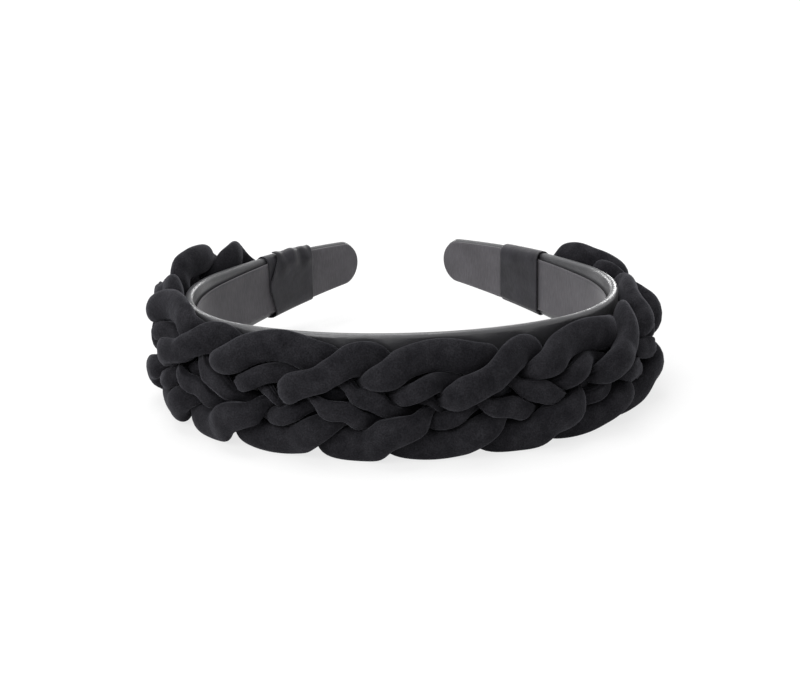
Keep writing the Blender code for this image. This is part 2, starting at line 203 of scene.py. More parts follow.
# %% Plan of the braid
CORDS = (
    ("ply1", 0, 0), ("ply2_upper", 1, 1), ("ply2_lower", 1, -1),
    ("ply3", 2, 0), ("ply4_upper", 3, 1), ("ply4_lower", 3, -1),
)
PLY_COUNT = 4
BRAID_MIDDLE, CORD_FACE = 0.0083, 0.0016
LEFT_BINDING_START, LEFT_BINDING_WIDTH = 0.141, 0.0193
RIGHT_BINDING_START, RIGHT_BINDING_WIDTH = 0.1375, 0.0177
LEFT_LAST_CROSSING, RIGHT_LAST_CROSSING = 0.0067, 0.0111
CROSSING_PITCH, TAIL_END_MARGIN, SLICE, TABLE_STEPS = 0.0236, 0.003, 0.0011, 400

hoop_table = np.linspace(0, HALF_LENGTH, TABLE_STEPS)
braid_table = np.zeros(TABLE_STEPS)
passed = 0.0
for radius, length in ARCS:
    braid_table += np.clip(hoop_table - passed, 0, length) * (radius + BRAID_MIDDLE) / radius
    passed += length


def braid_length(along):
    """Lengths along the middle of the braid, from lengths along the hoop."""
    return np.sign(along) * np.interp(np.abs(along), hoop_table, braid_table)


def hoop_length(along):
    """Lengths along the hoop, from lengths along the middle of the braid."""
    return np.sign(along) * np.interp(np.abs(along), braid_table, hoop_table)


left_binding, right_binding = braid_length(-LEFT_BINDING_START), braid_length(RIGHT_BINDING_START)
left_tail = braid_length(-(LEFT_BINDING_START + LEFT_BINDING_WIDTH - TAIL_END_MARGIN))
right_tail = braid_length(RIGHT_BINDING_START + RIGHT_BINDING_WIDTH - TAIL_END_MARGIN)
first, last = left_binding + LEFT_LAST_CROSSING, right_binding - RIGHT_LAST_CROSSING
pitch = 2 * (last - first) / round(2 * (last - first) / CROSSING_PITCH)
slices = np.linspace(left_tail, right_tail, round((right_tail - left_tail) / SLICE) + 1)
print("the braid is", round(right_tail - left_tail, 3), "m long and has", len(slices), "slices")

# %% [markdown]
# ## How the tubes swing
#
# A braider carries each ply from edge to edge in turn, so one angle tells where a tube is in its
# swing: it is highest a quarter turn on, and lowest three quarters on. Curves drawn by hand could do
# this too, but the angle simply grows along the band, and a little faster on the arms, where the
# braid was pulled tighter.

# %% Swing of the tubes
START_PHASE, RUN_ON = math.radians(-72), 0.004
ARM_START, ARM_REACH, ARM_LEAD = 0.085, 0.05, math.radians(25)


def smooth_step(share):
    """A soft step from 0 to 1, over a share from 0 to 1."""
    share = np.clip(share, 0, 1)
    return share * share * (3 - 2 * share)


quarter = 2 * math.pi / PLY_COUNT
swing = START_PHASE + quarter * (np.clip(slices, first - RUN_ON, last + RUN_ON) - first) / pitch
swing += np.sign(slices) * ARM_LEAD * smooth_step((np.abs(slices) - ARM_START) / ARM_REACH)
phase = np.array([swing - quarter * ply for name, ply, side in CORDS])
side = np.array([side for name, ply, side in CORDS])[:, None]
single = side == 0
wrapped = np.abs((phase + math.pi) % (2 * math.pi) - math.pi)
print("each tube swings", round(float(np.ptp(swing)) / (2 * math.pi), 1), "times")

# %% [markdown]
# ## How full the tubes are
#
# A stuffed tube is full where it lies on top as a leaf, wide and flat where it falls behind the
# others, and thin where it is pinched in the middle of the band. One tube could be sculpted, but six
# of them repeat this at every crossing, so each state is a bell curve over the swing.

# %% Fullness of the tubes
LEAF_WIDTHS, TURN_WIDTHS, FALLING_WIDTHS = (0.0126, 0.0105), (0.0128, 0.0106), (0.0210, 0.0160)
LEAF_THICKNESS, FALLING_THICKNESS = 0.0082, 0.0060
LEAF_MIDDLE, LEAF_REACH = np.radians((40, 32))
FALLING_REACH, PINCH_REACH, MIDDLE_PINCH = math.radians(42), math.radians(24), 0.2

leaf = np.exp(-((wrapped - LEAF_MIDDLE) / LEAF_REACH) ** 2)
falling = np.exp(-(((math.pi - wrapped) / FALLING_REACH) ** 2))
pinch = np.exp(-((wrapped / PINCH_REACH) ** 2))
leaf_width = np.where(single, *LEAF_WIDTHS)
turn_width = np.where(single, *TURN_WIDTHS)
half = (turn_width * (1 - leaf) + leaf_width * leaf) / 2
half += (np.where(single, *FALLING_WIDTHS) - turn_width) / 2 * falling
thick = (FALLING_THICKNESS * (1 - leaf) + LEAF_THICKNESS * leaf) / 2 * (1 - MIDDLE_PINCH * pinch)
print("the tubes are up to", (2 * half.max()).round(4), "m wide")

# %% [markdown]
# ## The edges of the braid
#
# The braid is no straight ribbon. Across the crown its upper edge falls from left to right, it stands
# higher at the temples, and on the narrow arms its lower edge rises. Straight edges would be simpler,
# but the lobes would then miss the rim, so a few soft steps shape both edges.

# %% Edges of the braid
BRAID_TOPS, BRAID_BOTTOM = (0.0140, 0.0163), -0.0191
TOP_FALL, TOP_REACH = 0.0018, 0.05
LEFT_RISE, LEFT_RISE_START, LEFT_RISE_REACH = 0.0036, 0.075, 0.03
LEFT_DIP_START, LEFT_DIP_REACH = 0.13, 0.016
RIGHT_RISE, RIGHT_RISE_START, RIGHT_RISE_REACH = 0.0016, 0.115, 0.02
LOWER_RISE, LOWER_RISE_START, LOWER_RISE_REACH = 0.0036, 0.1, 0.04

left_rise = smooth_step((-slices - LEFT_RISE_START) / LEFT_RISE_REACH)
left_dip = smooth_step((-slices - LEFT_DIP_START) / LEFT_DIP_REACH)
top = np.where(single, *BRAID_TOPS) - TOP_FALL * np.tanh(slices / TOP_REACH)
top += LEFT_RISE * (left_rise - left_dip)
top += RIGHT_RISE * smooth_step((slices - RIGHT_RISE_START) / RIGHT_RISE_REACH)
bottom = BRAID_BOTTOM + LOWER_RISE * smooth_step((np.abs(slices) - LOWER_RISE_START) / LOWER_RISE_REACH)
print("the braid reaches from", bottom.min().round(4), "to", top.max().round(4), "m up the band")

# %% [markdown]
# ## Where each tube runs
#
# The middle of a tube follows a softened zigzag between the two edges, and the two tubes of a pair run
# beside that line. A plain wave would also braid, but its turns are too round for a tight plait. Only
# by the left binding do they become round, and the last lobe on each arm lies a little higher.

# %% Courses of the tubes
PAIR_SPACING, ZIGZAG_SHARE, SKEW = 0.0076, 1 / 9, 0.12
ROUNDED_START, ROUNDED_REACH = 0.125, 0.02
LAST_LOBES, LOBE_REACH = (("ply3", -0.1385, 0.0018), ("ply2_lower", 0.1475, 0.0018)), 0.0065

zigzag = ZIGZAG_SHARE * (1 - smooth_step((-slices - ROUNDED_START) / ROUNDED_REACH))
sway = (top - bottom - leaf_width - np.abs(side) * PAIR_SPACING) / 2 / (1 + zigzag)
bent = phase - SKEW * np.sin(phase)
line = sway * (np.sin(bent) - zigzag * np.sin(3 * bent)) + (top + bottom) / 2
cord_names = [name for name, *_ in CORDS]
for name, place, lift in LAST_LOBES:
    line[cord_names.index(name)] += lift * np.exp(-(((slices - place) / LOBE_REACH) ** 2))
climb = np.gradient(line, slices, axis=1)
beside = side * PAIR_SPACING / 2 / np.hypot(1, climb)
up = np.array([
    np.interp(slices, slices - slope * step, middle + step)
    for slope, step, middle in zip(climb, beside, line)
])
print("the middles of the tubes swing between", up.min().round(4), "and", up.max().round(4))

# %% [markdown]
# ## The ends of the tubes
#
# At each end the tubes lose their filling, are drawn flat and lie side by side under the binding. They
# could simply be cut off there, but the drawn ends show, so every tube is led to a seat of its own, in
# the order in which the tubes arrive.

# %% Gather the ends
TAIL_PITCH, TAIL_THICKNESS = 0.00262, 0.0022
GATHER_LENGTH, DRAW_LENGTH = 0.008, 0.0155

past_end = np.maximum(left_binding - slices, slices - right_binding)
gathered = smooth_step(past_end / GATHER_LENGTH + 1)
drawn = smooth_step(past_end / DRAW_LENGTH + 1)
for end, nearest in ((slices < 0, 0), (slices > 0, -1)):
    ranks = np.argsort(np.argsort(up[:, nearest]))
    seats = ((ranks - (len(CORDS) - 1) / 2) * TAIL_PITCH)[:, None]
    up[:, end] += (seats - up[:, end]) * drawn[end]
    half[:, end] += (TAIL_PITCH / 2 - half[:, end]) * gathered[end]
    thick[:, end] += (TAIL_THICKNESS / 2 - thick[:, end]) * gathered[end]
print(np.sum(drawn > 0), "slices are drawn towards the bindings")

# %% [markdown]
# ## Over and under
#
# Where two tubes cross, one has to lie outside the other. A simulation of cords could find out which,
# but a braid is regular: the swings of the two tubes already say which one is over and which under.

# %% Which tube lies over
EDGE_REACH, MIDDLE_REACH = 0.0066, 0.0046


def lies_over(i, j):
    """1 where tube i crosses over tube j, -1 where it crosses under, and between these nearby."""
    apart = (CORDS[j][1] - CORDS[i][1]) % PLY_COUNT
    if apart == 1:
        return -np.sin(phase[i] - math.pi / 4)
    if apart == 2:
        return -np.cos(phase[i])
    if apart == 3:
        return np.sin(phase[j] - math.pi / 4)
    return np.zeros_like(phase[i])


crossings = []
for j in range(len(CORDS)):
    for i in range(j):
        middle_crossing = (CORDS[j][1] - CORDS[i][1]) % PLY_COUNT == 2
        crossings.append((i, j, lies_over(i, j), MIDDLE_REACH if middle_crossing else EDGE_REACH))
print(len(crossings), "pairs of tubes cross")

# %% [markdown]
# ## Settling
#
# Each tube would like to lie at a level of its own: on the band at the upper edge, where it is sewn
# down, and a little off it elsewhere. A cloth simulation could find such a rest, but a short settling
# is quicker and always ends the same. In each round a tube is pushed by the tubes that it crosses,
# kept off the band by most of half its thickness, and pulled back a little towards its level. The
# last rounds only push, so that no tubes are left inside each other.

# %% Settle the crossings
PRESSED_SHARE = 0.85
LEVEL, EDGE_TURN, LOWER_SHARE = 0.0030, math.radians(42), -0.1
ROUNDS, PULLED_ROUNDS, LAST_EASINGS = 360, 300, 12
PUSH_PART, PULL_PART, EASING_PART, SEATED_POWER = 4, 30, 8, 4

at_edge = np.exp(-(((wrapped - math.pi / 2) / EDGE_TURN) ** 2))
seated = at_edge * (1 + LOWER_SHARE + (1 - LOWER_SHARE) * np.sin(phase)) / 2
level = thick * PRESSED_SHARE + (1 - gathered) * LEVEL * (1 - seated)
out = level.copy()
for turn in range(ROUNDS):
    for i, j, over, full_reach in crossings:
        reach = full_reach * (thick[i] + thick[j]) / LEAF_THICKNESS
        near = np.maximum(0, 1 - ((up[i] - up[j]) / reach) ** 2)
        wanted = (thick[i] + thick[j]) * PRESSED_SHARE * near * np.abs(over)
        short = np.maximum(0, wanted - (out[i] - out[j]) * np.sign(over))
        push = short * near * np.sign(over) / PUSH_PART
        out[i] += push
        out[j] -= push
    out = np.maximum(out, thick * PRESSED_SHARE)
    if turn < PULLED_ROUNDS:
        out += (level - out) / PULL_PART
        out[:, 1:-1] += ((out[:, :-2] + out[:, 2:]) / 2 - out[:, 1:-1]) / EASING_PART
for _ in range(LAST_EASINGS):
    out[:, 1:-1] = (out[:, :-2] + 2 * out[:, 1:-1] + out[:, 2:]) / 4
out += (level - out) * gathered**SEATED_POWER
print("the tubes lie from", out.min().round(4), "to", out.max().round(4), "out from the band")

# %% [markdown]
# ## Tubes that press on each other
#
# A stuffed tube is oval when it is free. In the braid it swells until it meets its neighbours, the
# band or its own skin. Each tube gets rings square to its line, and each ring is followed along
# spokes from its middle. A spoke stops halfway to the nearest neighbour, and a soft minimum rounds
# the corners where two such limits meet. The lines are worked on as if the braid were laid out flat.

# %% Lines of the tubes
RING_STEP = 0.0011
lines, halves, thicks, fallings = [], [], [], []
for i in range(len(CORDS)):
    course = np.stack([slices, up[i], out[i]], axis=1)
    run = np.concatenate([[0], np.cumsum(np.linalg.norm(np.diff(course, axis=0), axis=1))])
    stops = np.linspace(0, run[-1], round(run[-1] / RING_STEP) + 1)
    lines.append(np.stack([np.interp(stops, run, values) for values in course.T], axis=1))
    halves.append(np.interp(stops, run, half[i]))
    thicks.append(np.interp(stops, run, thick[i]))
    fallings.append(np.interp(stops, run, falling[i] * (1 - gathered)))
print("the tubes are", [round(len(course) * RING_STEP, 3) for course in lines], "m long")

# %% Rings square to a line
SPOKES = 48
angles = 2 * math.pi * np.arange(SPOKES) / SPOKES


def square_frames(course):
    """The two directions square to a line at each point: across it on the band, and out from it."""
    ahead = np.gradient(course, axis=0)
    ahead /= np.linalg.norm(ahead, axis=1, keepdims=True)
    across = np.cross((0, 0, 1), ahead)
    across /= np.linalg.norm(across, axis=1, keepdims=True)
    return across, np.cross(ahead, across)


def free_spokes(i):
    """The spokes of each ring of tube i as unit directions, and how far its free oval reaches."""
    across, outward = sides[i]
    wide = halves[i][:, None, None] * np.cos(angles)[None, :, None] * across[:, None]
    deep = thicks[i][:, None, None] * np.sin(angles)[None, :, None] * outward[:, None]
    free = np.linalg.norm(wide + deep, axis=2)
    return (wide + deep) / free[:, :, None], free


sides = [square_frames(course) for course in lines]
print("frames for", sum(len(course) for course in lines), "rings")

# %% How far a tube swells
PRESSED_GAP, SOFTNESS, NEIGHBOURS, LEAST_FACING = 0.0002, 18, 24, 0.05


def oval_reach(k, rings, gap):
    """How far the free oval of tube k reaches along unit gaps, at some of its rings."""
    across, outward = (np.sum(direction[rings] * gap, axis=-1) for direction in sides[k])
    return 1 / np.hypot(across / halves[k][rings], outward / thicks[k][rings])


def room_around(i):
    """Unit gaps from each ring of tube i to rings of the others, and the room that it has that way."""
    gaps, rooms = [], []
    for j in range(len(CORDS)):
        if j != i:
            apart = np.linalg.norm(lines[i][:, None] - lines[j][None], axis=2)
            rings = np.argpartition(apart, NEIGHBOURS, axis=1)[:, :NEIGHBOURS]
            gap = lines[j][rings] - lines[i][:, None]
            length = np.linalg.norm(gap, axis=2)
            gap /= length[:, :, None]
            mine = oval_reach(i, np.arange(len(gap))[:, None], gap)
            gaps.append(gap)
            rooms.append((length - PRESSED_GAP) * mine / (mine + oval_reach(j, rings, gap)))
    return gaps, rooms


def swell(i, ways, free, moved, gaps, rooms):
    """How far tube i, moved within its room, swells along each spoke until it meets something."""
    middle = lines[i] + moved
    above_floor, face = middle[:, 1:2] + HOOP_START[2], middle[:, 2:]
    meets = [
        free,
        face / np.maximum(-ways[:, :, 2], LEAST_FACING),
        above_floor / np.maximum(-ways[:, :, 1], LEAST_FACING),
    ]
    for gap, room in zip(gaps, rooms):
        left_over = np.maximum(room - np.sum(moved[:, None] * gap, axis=2), PRESSED_GAP)
        facing = np.einsum("rsa,rna->rsn", ways, gap)
        meets.append((left_over[:, None] / np.maximum(facing, LEAST_FACING)).min(axis=2))
    return np.sum([meet**-SOFTNESS for meet in meets], axis=0) ** (-1 / SOFTNESS)


print("a tube can swell along", SPOKES, "spokes")

# %% [markdown]
# ## The skins of the tubes
#
# A skin drawn straight through the spokes would be sharp where a tube meets two others. So each tube
# first moves to the middle of its room, and its spokes are smoothed along and around it, but hardly
# past the place where it met something. Where it is squeezed, its spare velvet stands in fine ridges.

# %% Skins of the tubes
CENTRING_ROUNDS, SMOOTHING_ROUNDS, TIGHTER_ROUNDS, AROUND_EVERY = 6, 16, 8, 3
PRESS_IN, SQUEEZE_OFFSET, SQUEEZE_SLOPE = 0.0006, 2, 2.4
RIDGE_DEPTH, RIDGES = 0.00045, ((7, 0.9), (11, 2.3), (16, 4.1))
RIDGE_DRIFT, DRIFT_RINGS = 2, 14


def tube_rings(i):
    """Rings of points round tube i, from the middle of its room, a little smoothed."""
    ways, free = free_spokes(i)
    gaps, rooms = room_around(i)
    moved = np.zeros_like(lines[i])
    for _ in range(CENTRING_ROUNDS):
        moved += 0.5 * np.mean(swell(i, ways, free, moved, gaps, rooms)[:, :, None] * ways, axis=1)
        moved[1:-1] = (moved[:-2] + 2 * moved[1:-1] + moved[2:]) / 4
    reach = swell(i, ways, free, moved, gaps, rooms)
    limit = reach + PRESS_IN
    for turn in range(SMOOTHING_ROUNDS):
        if turn == TIGHTER_ROUNDS:
            tighter = reach.copy()
        reach[1:-1] = (reach[:-2] + 2 * reach[1:-1] + reach[2:]) / 4
        if turn % AROUND_EVERY == 0:
            reach = (np.roll(reach, 1, axis=1) + 2 * reach + np.roll(reach, -1, axis=1)) / 4
        reach = np.minimum(reach, limit)
    reach += (tighter - reach) * fallings[i][:, None]
    fullness = reach.mean(axis=1) / free.mean(axis=1)
    squeezed = smooth_step(SQUEEZE_OFFSET - SQUEEZE_SLOPE * fullness)[:, None]
    drift = RIDGE_DRIFT * np.sin(np.arange(len(reach)) / DRIFT_RINGS + i)[:, None]
    ridges = np.mean([np.cos(count * angles + turn + drift + i) for count, turn in RIDGES], axis=0)
    reach -= RIDGE_DEPTH * squeezed * (0.5 + ridges)
    return (lines[i] + moved)[:, None] + reach[:, :, None] * ways


flat_tubes = {name: tube_rings(i) for i, name in enumerate(cord_names)}
tubes = {
    name: hoop_points(hoop_length(rings[:, :, 0]), CORD_FACE + rings[:, :, 2], rings[:, :, 1])
    for name, rings in flat_tubes.items()
}
fullest = max(rings[:, :, 2].max() for rings in flat_tubes.values())
print("six tubes, the fullest", fullest.round(4), "m high")

# %% [markdown]
# ## Cloth from a flat grid
#
# Cloth is cut flat and then bent. The same is done here: a grid is made with its own UV map, each of
# its points is moved to where that part of the cloth lies, and where the cloth is sewn to itself the
# doubled points are merged. The UV map is stretched to metres, so that a weave has its true scale.

# %% Bend a grid into a piece
SEAM_WIDTH = 1e-6


def bent_cloth(name, points, finish, wraps=False):
    """A piece of cloth through rows of points; it may wrap round into a tube with closed ends."""
    if wraps:
        points = np.concatenate([points, points[:, :1]], axis=1)
    rows, columns = points.shape[:2]
    cut_width = np.linalg.norm(np.diff(points, axis=1), axis=2).sum(axis=1).max()
    cut_length = np.linalg.norm(np.diff(points, axis=0), axis=2).sum(axis=0).max()
    shape = bmesh.new()
    cut = shape.loops.layers.uv.new("cut")
    bmesh.ops.create_grid(shape, x_segments=columns - 1, y_segments=rows - 1, size=1.0, calc_uvs=True)
    for face in shape.faces:
        face.smooth = True
        for corner in face.loops:
            corner[cut].uv *= Vector((cut_width, cut_length))
    for vert in shape.verts:
        column = round((vert.co.x + 1) / 2 * (columns - 1))
        row = round((vert.co.y + 1) / 2 * (rows - 1))
        vert.co = points[row, column]
    bmesh.ops.remove_doubles(shape, verts=shape.verts, dist=SEAM_WIDTH)
    if wraps:
        ends = [edge for edge in shape.edges if edge.is_boundary]
        bmesh.ops.holes_fill(shape, edges=ends)
    bmesh.ops.recalc_face_normals(shape, faces=shape.faces)
    mesh = bpy.data.meshes.new(name)
    shape.to_mesh(mesh)
    shape.free()
    mesh.materials.append(finish)
    piece = bpy.data.objects.new(name, mesh)
    bpy.context.scene.collection.objects.link(piece)
    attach(piece, "root")
    return piece, (cut_width, cut_length)


print("cloth can be bent")

# %% [markdown]
# ## The velvet tubes
#
# On the real band each tube is a strip of velvet, sewn into a sleeve round a soft filling. A curve with
# a round bevel would give an even tube, but these ones are pressed out of shape, so the strip is bent
# through the rings that were worked out above. Each tube stands for a sleeve and its filler.

# %% Velvet tubes
for name, rings in tubes.items():
    tube, cut_size = bent_cloth(name + "_velvet", rings, velvet, wraps=True)
    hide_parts(name + "_sleeve", name + "_filler")
    print(tube.name, len(tube.data.polygons), "faces")

# %% [markdown]
# ## The outline of the band
#
# Unrolled, the covered hoop is a long strip, widest at the crown, that narrows to two round tips. The
# satin and the lining both follow this outline. It could be measured on the CAD solid, but a width
# as a function of length is easier to sweep along, and an inset of it fits each layer.

# %% Shape of the band
CROWN_WIDTH, TIP_WIDTH, WIDTH_POWER = 0.034, 0.01415, 1.64
TIP_ROUNDING, TIP_STEPS, SWEEP_STEPS = 0.0055, 12, 190


def band_half_width(along, inset=0.0):
    """Half the width of the covered band, less an inset, with its rounded tips."""
    share = np.abs(along) / HALF_LENGTH
    width = CROWN_WIDTH - (CROWN_WIDTH - TIP_WIDTH) * share**WIDTH_POWER
    past = np.clip((np.abs(along) - HALF_LENGTH + inset) / TIP_ROUNDING + 1, 0, 1)
    return (width / 2 - inset) * np.sqrt(1 - past**2)


def tip_to_tip(inset):
    """Lengths along the hoop from tip to tip, close together round the tips."""
    straight = HALF_LENGTH - inset - TIP_ROUNDING
    tip = straight + TIP_ROUNDING * np.sin(np.linspace(0, math.pi / 2, TIP_STEPS)[1:])
    return np.concatenate([-tip[::-1], np.linspace(-straight, straight, SWEEP_STEPS), tip])


print("the band is", 2 * float(band_half_width(0.0)), "m wide at the crown")

# %% [markdown]
# ## Satin
#
# Satin has long floating threads, so it is smooth and shines in soft streaks. A mirror-like shader
# with a tint would look like plastic. Here the roughness itself follows the threads, which run along
# the strip's UV map, and a wide soft bump gives the slight waves of stretched cloth.

# %% Satin finish
satin, tree, shader = new_finish("black_satin", Specular_IOR_Level=0.8, Sheen_Weight=0.05)
cut = add_node(tree, "TexCoord").outputs["UV"]
threads = add_node(tree, "Mapping", Vector=cut, Scale=(1.0, 0.3, 1.0)).outputs["Vector"]
woven = add_node(tree, "TexNoise", Vector=threads, Scale=3600.0, Detail=2.0).outputs["Fac"]
pulled = add_node(tree, "TexNoise", Vector=cut, Scale=90.0, Detail=3.0).outputs["Fac"]
tone = between(tree, pulled, (0.3, (0.026, 0.026, 0.029)), (0.7, (0.044, 0.044, 0.048)))
tree.links.new(tone, shader.inputs["Base Color"])
shine = between(tree, woven, (0.3, (0.28, 0.28, 0.28)), (0.7, (0.42, 0.42, 0.42)))
tree.links.new(shine, shader.inputs["Roughness"])
fine = add_node(tree, "Bump", Strength=0.35, Distance=0.00014, Height=woven)
soft = add_node(tree, "Bump", Strength=0.3, Distance=0.0012, Height=pulled, Normal=fine.outputs["Normal"])
tree.links.new(soft.outputs["Normal"], shader.inputs["Normal"])
print("made", satin.name)

# %% [markdown]
# ## The satin cover
#
# A strip of satin is stretched round the plastic hoop. It lies on the outside, turns in over both
# edges and ends in two hems that the lining hides. Solidify could thicken a simple tube, but a real
# cover is open on the inside, so the strip's section is drawn as a line from hem to hem with a round
# turn at each edge, and swept along the hoop. At each tip the section shrinks until it closes.

# %% Section of the cover
COVER_MIDDLE, COVER_THICKNESS = 0.0011, 0.0004
LINING_WIDTH, HEM_UNDER_LINING = 0.0175, 0.002
INNER_STEPS, TURN_STEPS, OUTER_STEPS = 5, 9, 15

places = tip_to_tip(COVER_THICKNESS / 2)[:, None]
half_cover = band_half_width(places, COVER_THICKNESS / 2)
closing = np.sqrt(1 - np.clip((np.abs(places) - HALF_LENGTH) / COVER_MIDDLE + 1, 0, 1) ** 2)
depth = COVER_MIDDLE * closing
hem = np.minimum(LINING_WIDTH / 2 - HEM_UNDER_LINING, half_cover / 2)
turned_edge = half_cover - np.minimum(depth, half_cover / 2)
round_turn = np.linspace(-math.pi / 2, math.pi / 2, TURN_STEPS)
inner_face = hem + (turned_edge - hem) * np.linspace(0, 1, INNER_STEPS)[:-1]
outer_face = turned_edge * np.linspace(1, -1, OUTER_STEPS)[1:-1]
turn_up = turned_edge + (half_cover - turned_edge) * np.cos(round_turn)
turn_out = depth * np.sin(round_turn)
section_up = np.concatenate([
    inner_face, turn_up, outer_face, -turn_up[:, ::-1], -inner_face[:, ::-1],
], axis=1)
section_out = np.concatenate([
    -depth + 0 * inner_face, turn_out, depth + 0 * outer_face, turn_out[:, ::-1], -depth + 0 * inner_face,
], axis=1)
print("the cover's section has", section_up.shape[1], "points")

# %% Satin cover
cover, cut_size = bent_cloth("satin_strip", hoop_points(places, section_out, section_up), satin)
wall = cover.modifiers.new("satin_thickness", "SOLIDIFY")
wall.thickness = COVER_THICKNESS
wall.offset = 0.0
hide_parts("satin_cover")
print("the satin strip is cut", [round(v, 4) for v in cut_size], "m")

# %% [markdown]
# ## Grosgrain
#
# The lining is a matt ribbon with fine ribs across it. A brick or wave texture could draw the ribs, but
# would make them too even, so a noise that is stretched across the strip gives their broken grain. A
# second noise gives the worn, cloudy tone.

# %% Ribbon finish
ribbon, tree, shader = new_finish("grey_ribbon", Roughness=0.72, Specular_IOR_Level=0.3, Sheen_Weight=0.2)
cut = add_node(tree, "TexCoord").outputs["UV"]
ribs = add_node(tree, "Mapping", Vector=cut, Scale=(0.15, 1.0, 1.0)).outputs["Vector"]
weft = add_node(tree, "TexNoise", Vector=ribs, Scale=2400.0, Detail=2.0).outputs["Fac"]
worn = add_node(tree, "TexNoise", Vector=cut, Scale=70.0, Detail=4.0).outputs["Fac"]
tone = between(tree, worn, (0.3, (0.053, 0.0495, 0.0555)), (0.7, (0.078, 0.074, 0.082)))
grain = between(tree, weft, (0.25, (0.8, 0.8, 0.8)), (0.75, (1.2, 1.2, 1.2)))
woven = add_node(tree, "MixRGB", {"blend_type": "MULTIPLY"}, Fac=1.0, Color1=tone, Color2=grain)
tree.links.new(woven.outputs["Color"], shader.inputs["Base Color"])
ribbed = add_node(tree, "Bump", Strength=0.3, Distance=0.00015, Height=weft)
wavy = add_node(tree, "Bump", Strength=0.3, Distance=0.001, Height=worn, Normal=ribbed.outputs["Normal"])
tree.links.new(wavy.outputs["Normal"], shader.inputs["Normal"])
print("made", ribbon.name)

# %% [markdown]
# ## The ribbon lining
#
# The ribbon is glued inside, over the two hems. It is flat and as long as the hoop, with rounded ends.
# A flat strip would do, but its edges aren't glued down: between the bindings they stand off a little
# and leave a dark line beside them.

# %% Ribbon lining
LINING_OUT, LINING_THICKNESS, LINING_INSET, LINING_STEPS = -0.00185, 0.0005, 0.0005, 17
EDGE_LIFT, LIFT_POWER, LIFT_MARGIN, LIFT_REACH = 0.0003, 6, 0.001, 0.006
places = tip_to_tip(LINING_INSET)[:, None]
half_ribbon = np.minimum(LINING_WIDTH / 2, band_half_width(places, LINING_INSET))
across = np.linspace(1, -1, LINING_STEPS)
free_edge = smooth_step((LEFT_BINDING_START - LIFT_MARGIN - np.abs(places)) / LIFT_REACH)
lifted = LINING_OUT - EDGE_LIFT * free_edge * np.abs(across) ** LIFT_POWER
lining, cut_size = bent_cloth("ribbon_strip", hoop_points(places, lifted, half_ribbon * across), ribbon)
wall = lining.modifiers.new("ribbon_thickness", "SOLIDIFY")
wall.thickness = LINING_THICKNESS
wall.offset = 0.0
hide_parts("lining_ribbon")
print("the lining is cut", [round(v, 4) for v in cut_size], "m")

# %% [markdown]
# ## Binding ribbon
#
# The ribbon of the bindings is darker and smoother than the lining, with a dull, uneven gloss. One
# even roughness would look like paper, so a cloudy noise sets both its tone and its roughness.

# %% Binding finish
binding, tree, shader = new_finish("black_binding", Specular_IOR_Level=0.22, Sheen_Weight=0.08)
cut = add_node(tree, "TexCoord").outputs["UV"]
threads = add_node(tree, "Mapping", Vector=cut, Scale=(0.1, 1.0, 1.0)).outputs["Vector"]
woven = add_node(tree, "TexNoise", Vector=threads, Scale=4600.0, Detail=2.0).outputs["Fac"]
rubbed = add_node(tree, "TexNoise", Vector=cut, Scale=160.0, Detail=4.0).outputs["Fac"]
tone = between(tree, rubbed, (0.3, (0.012, 0.0115, 0.0145)), (0.72, (0.025, 0.024, 0.029)))
grain = between(tree, woven, (0.25, (0.75, 0.75, 0.75)), (0.75, (1.25, 1.25, 1.25)))
weave = add_node(tree, "MixRGB", {"blend_type": "MULTIPLY"}, Fac=1.0, Color1=tone, Color2=grain)
tree.links.new(weave.outputs["Color"], shader.inputs["Base Color"])
shine = between(tree, rubbed, (0.3, (0.42, 0.42, 0.42)), (0.7, (0.58, 0.58, 0.58)))
tree.links.new(shine, shader.inputs["Roughness"])
fine = add_node(tree, "Bump", Strength=0.25, Distance=0.0001, Height=woven)
soft = add_node(tree, "Bump", Strength=0.4, Distance=0.0009, Height=rubbed, Normal=fine.outputs["Normal"])
tree.links.new(soft.outputs["Normal"], shader.inputs["Normal"])
print("made", binding.name)

# %% [markdown]
# ## The bindings
#
# At each end a dark ribbon is wound round the band and the flattened ends of the tubes. It starts
# under its own end, goes round the back, and its last turn is glued on the inside. On the left arm that
# end is folded to a point and crumpled at the top; on the right arm it is cut straight. A closed
# sleeve would be simpler, but only a wound strip shows a real edge lying on another layer. So the
# strip's way round the band is written as corners, which are then divided and rounded.

# %% The way of a wound ribbon
UNDER, OVER, BACK = -0.0024, -0.0030, 0.0042
TAIL_HALF = len(CORDS) * TAIL_PITCH / 2
ROUNDING_PASSES, LAST_TURN_FROM, LAST_TURN_TO = 3, 8, 11
SEGMENT_STEPS = (10, 3, 3, 6, 26, 6, 3, 3, 14, 14, 4, 4)
FOLDED_SET_BACK = (
    0.0006, 0.0004, 0.0002, 0.0002, 0.0004, 0.0006, 0.0014, 0.0022, 0.0030, 0, 0.0042, 0.0046, 0.0040,
)
STRAIGHT_SET_BACK = (0.0004,) * 8 + (0, 0, 0, 0, 0.0003)


